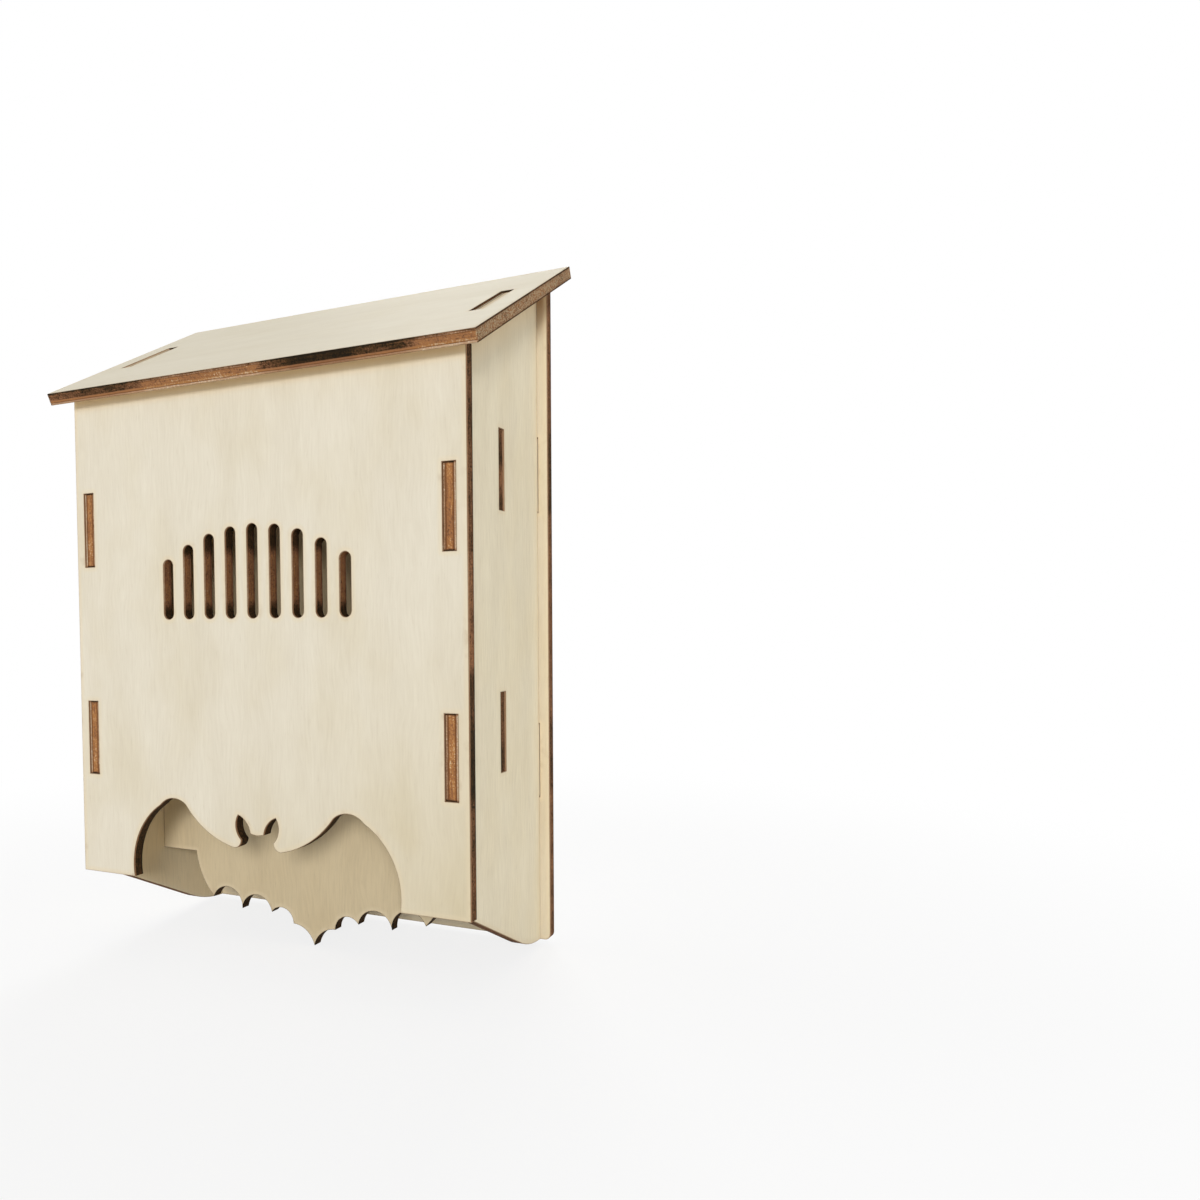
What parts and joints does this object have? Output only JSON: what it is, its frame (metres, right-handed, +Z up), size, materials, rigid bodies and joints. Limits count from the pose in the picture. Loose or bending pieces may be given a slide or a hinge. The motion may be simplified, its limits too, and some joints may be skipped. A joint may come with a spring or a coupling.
{
  "type": "bat box",
  "caption": "Wall-hung bat box of slotted plywood plates with a sloping roof, an inner partition and a bat-shaped entrance open at the bottom.",
  "frame": {"origin": "on the wall face (the back panel's rear face), on the centre line, level with the back panel's lower edge", "axes": "+X to the right as seen from the front, +Y into the wall (the front faces -Y), +Z up"},
  "size_m": [0.1186, 0.0601, 0.1716],
  "materials": {
    "plywood": "bare pale plywood with brown laser-burnt edges"
  },
  "bodies": {
    "root": {"front_panel": "plywood", "back_panel": "plywood", "side_panel_left": "plywood", "side_panel_right": "plywood", "partition_panel": "plywood", "roof_panel": "plywood"}
  },
  "joints": []
}
